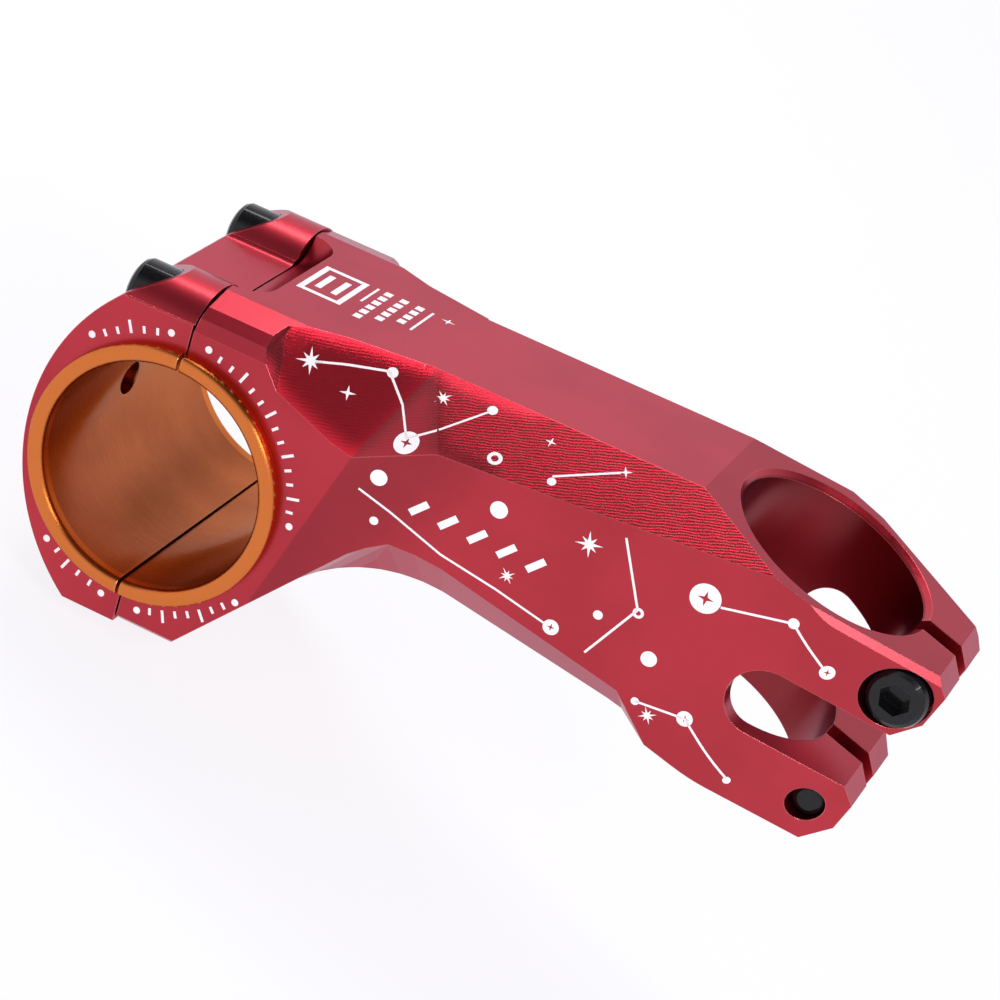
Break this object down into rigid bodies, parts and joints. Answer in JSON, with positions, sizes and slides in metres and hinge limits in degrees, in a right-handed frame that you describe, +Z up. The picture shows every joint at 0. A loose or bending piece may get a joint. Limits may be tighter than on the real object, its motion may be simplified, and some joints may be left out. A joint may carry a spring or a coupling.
{
  "type": "handlebar stem",
  "caption": "Threadless bicycle handlebar stem with a dropped milled neck, a bolted faceplate over a split bar shim, and a slotted steerer clamp.",
  "frame": {"origin": "crossing of the steerer axis and the centreline of the extension", "axes": "+Z up the steerer, +X forward to the handlebar, +Y to the rider's left along the bar"},
  "size_m": [0.1188, 0.049, 0.0715],
  "materials": {
    "red_anodised": "satin",
    "orange_anodised": "satin",
    "black_steel": "gloss",
    "white_ink": "matt"
  },
  "bodies": {
    "stem": {"stem_body": "red_anodised", "rear_shim": "orange_anodised"},
    "faceplate": {"faceplate": "red_anodised", "front_shim": "orange_anodised", "face_washer_upper_left": "black_steel", "face_washer_upper_right": "black_steel", "face_washer_lower_left": "black_steel", "face_washer_lower_right": "black_steel"},
    "face_bolt_upper_left": {"face_bolt_upper_left": "black_steel"},
    "face_bolt_upper_right": {"face_bolt_upper_right": "black_steel"},
    "face_bolt_lower_left": {"face_bolt_lower_left": "black_steel"},
    "face_bolt_lower_right": {"face_bolt_lower_right": "black_steel"},
    "clamp_washer_upper": {"clamp_washer_upper": "black_steel"},
    "clamp_bolt_upper": {"clamp_bolt_upper": "black_steel"},
    "clamp_washer_lower": {"clamp_washer_lower": "black_steel"},
    "clamp_bolt_lower": {"clamp_bolt_lower": "black_steel"}
  },
  "joints": [
    {"name": "faceplate_slide", "type": "slide", "parent": "stem", "child": "faceplate", "axis": [0.9563, 0, -0.2924], "range_m": [0, 0.0075]},
    {"name": "face_bolt_upper_left_turn", "type": "hinge", "parent": "faceplate", "child": "face_bolt_upper_left", "pos_m": [0.08815, 0.015, -0.00447], "axis": [0.9563, 0, -0.2924], "range_deg": [0, 3376]},
    {"name": "face_bolt_upper_right_turn", "type": "hinge", "parent": "faceplate", "child": "face_bolt_upper_right", "pos_m": [0.08815, -0.015, -0.00447], "axis": [0.9563, 0, -0.2924], "range_deg": [0, 3376]},
    {"name": "face_bolt_lower_left_turn", "type": "hinge", "parent": "faceplate", "child": "face_bolt_lower_left", "pos_m": [0.07604, 0.015, -0.04406], "axis": [0.9563, 0, -0.2924], "range_deg": [0, 3376]},
    {"name": "face_bolt_lower_right_turn", "type": "hinge", "parent": "faceplate", "child": "face_bolt_lower_right", "pos_m": [0.07604, -0.015, -0.04406], "axis": [0.9563, 0, -0.2924], "range_deg": [0, 3376]},
    {"name": "clamp_washer_upper_slide", "type": "slide", "parent": "stem", "child": "clamp_washer_upper", "axis": [0, 1, 0], "range_m": [0, 0.009]},
    {"name": "clamp_bolt_upper_turn", "type": "hinge", "parent": "clamp_washer_upper", "child": "clamp_bolt_upper", "pos_m": [-0.0178, 0.0059, 0.0164], "axis": [0, 1, 0], "range_deg": [0, 4051]},
    {"name": "clamp_washer_lower_slide", "type": "slide", "parent": "stem", "child": "clamp_washer_lower", "axis": [0, -1, 0], "range_m": [0, 0.009]},
    {"name": "clamp_bolt_lower_turn", "type": "hinge", "parent": "clamp_washer_lower", "child": "clamp_bolt_lower", "pos_m": [-0.0178, -0.0059, -0.004], "axis": [0, -1, 0], "range_deg": [0, 4051]}
  ],
  "couplings": [
    {"joint": "face_bolt_upper_left_turn", "follows": "faceplate_slide", "rad_per_m": 7854},
    {"joint": "face_bolt_upper_right_turn", "follows": "faceplate_slide", "rad_per_m": 7854},
    {"joint": "face_bolt_lower_left_turn", "follows": "faceplate_slide", "rad_per_m": 7854},
    {"joint": "face_bolt_lower_right_turn", "follows": "faceplate_slide", "rad_per_m": 7854},
    {"joint": "clamp_bolt_upper_turn", "follows": "clamp_washer_upper_slide", "rad_per_m": 7854},
    {"joint": "clamp_bolt_lower_turn", "follows": "clamp_washer_lower_slide", "rad_per_m": 7854}
  ]
}
